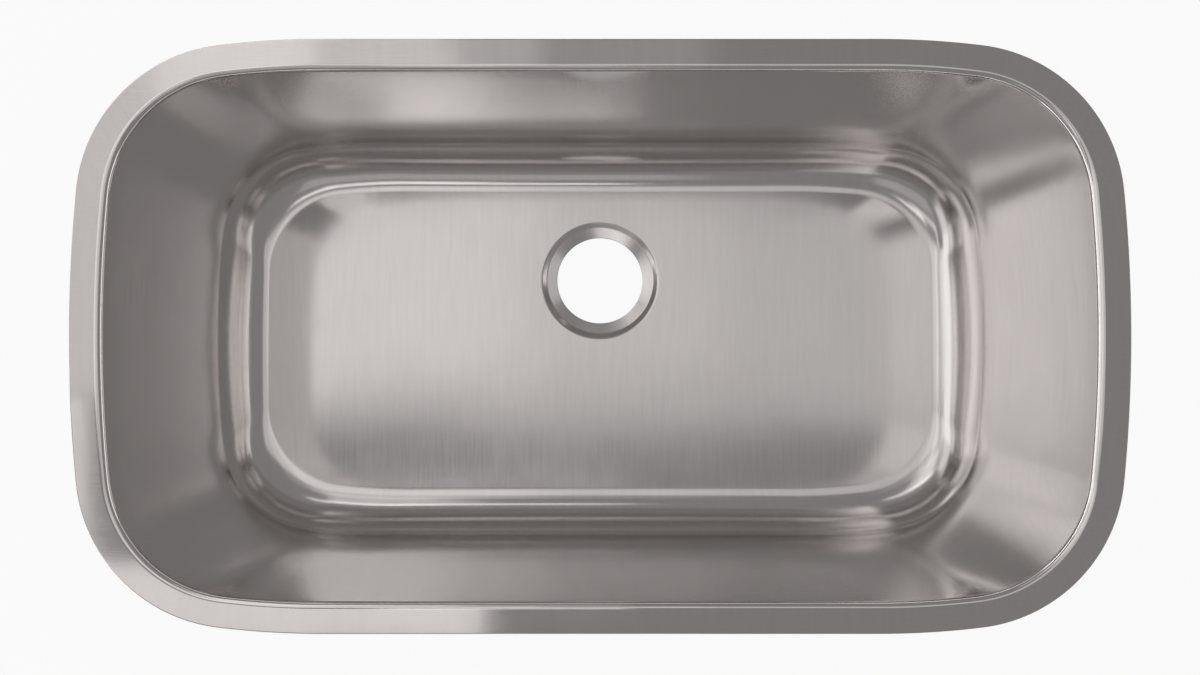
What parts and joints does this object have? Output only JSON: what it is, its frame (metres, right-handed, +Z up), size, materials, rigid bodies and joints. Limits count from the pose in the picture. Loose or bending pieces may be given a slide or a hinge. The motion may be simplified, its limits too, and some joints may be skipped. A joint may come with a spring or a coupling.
{
  "type": "undermount kitchen sink",
  "caption": "Undermount kitchen sink with one large deep bowl pressed from satin stainless steel, a flat rim flange, rounded corners and a rear drain recess.",
  "frame": {"origin": "centre of the rim's top plane, which bears on the underside of the worktop", "axes": "+X along the sink's length, +Y to the rear, where the drain is, +Z up, out of the bowl"},
  "size_m": [0.8, 0.448, 0.2362],
  "materials": {
    "stainless_steel": "satin brushed",
    "sound_coating": "sprayed, fine pebbled",
    "rubber_pad": "matt moulded rubber"
  },
  "bodies": {
    "root": {"bowl": "stainless_steel", "sound_coating": "sound_coating", "pad_floor_left": "rubber_pad", "pad_floor_right": "rubber_pad", "pad_floor_front": "rubber_pad", "pad_rear_left": "rubber_pad", "pad_rear_right": "rubber_pad", "pad_front_left": "rubber_pad", "pad_front_right": "rubber_pad", "pad_end_left": "rubber_pad", "pad_end_right": "rubber_pad"}
  },
  "joints": []
}
